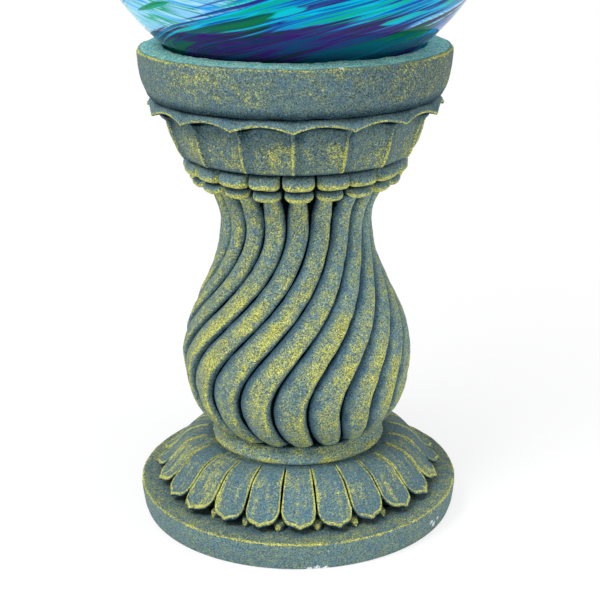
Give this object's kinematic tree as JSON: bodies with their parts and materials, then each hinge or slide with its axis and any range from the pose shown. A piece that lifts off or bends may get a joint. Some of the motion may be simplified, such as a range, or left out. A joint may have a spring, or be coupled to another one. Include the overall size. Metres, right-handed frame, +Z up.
{
  "type": "gazing globe on pedestal",
  "caption": "Swirled art-glass gazing globe that rests in the dish of a cast-stone pedestal with a twisted-flute shaft, beaded neck, panelled cup and petal foot.",
  "frame": {"origin": "centre of the plinth's underside, on the ground", "axes": "+Z up the axis of the pedestal, front toward -Y"},
  "size_m": [0.254, 0.254, 0.533],
  "materials": {
    "cast_stone": "rough cast, slate-blue paint dry-brushed with yellow",
    "steel": "zinc plated",
    "rubber": "matt",
    "art_glass": "blown glass with opaque colour swirls, glossy"
  },
  "bodies": {
    "pedestal": {"plinth": "cast_stone", "petal_skirt": "cast_stone", "base_collar": "cast_stone", "shaft": "cast_stone", "bead_ring": "cast_stone", "leaf_cup": "cast_stone", "neck_socket": "cast_stone", "rim_bowl": "cast_stone", "dish_plate": "cast_stone", "tie_rod": "steel", "bottom_washer": "steel", "bottom_nut": "steel", "top_washer": "steel", "top_nut": "steel"},
    "turning_seat": {"seat_ring": "rubber"},
    "glass_globe": {"globe": "art_glass", "globe_neck": "art_glass", "neck_stopper": "rubber"}
  },
  "joints": [
    {"name": "globe_turn", "type": "hinge", "parent": "pedestal", "child": "turning_seat", "pos_m": [0, 0, 0.3], "axis": [0, 0, 1], "continuous": true},
    {"name": "globe_lift", "type": "slide", "parent": "turning_seat", "child": "glass_globe", "axis": [0, 0, 1], "range_m": [0, 0.12]}
  ]
}
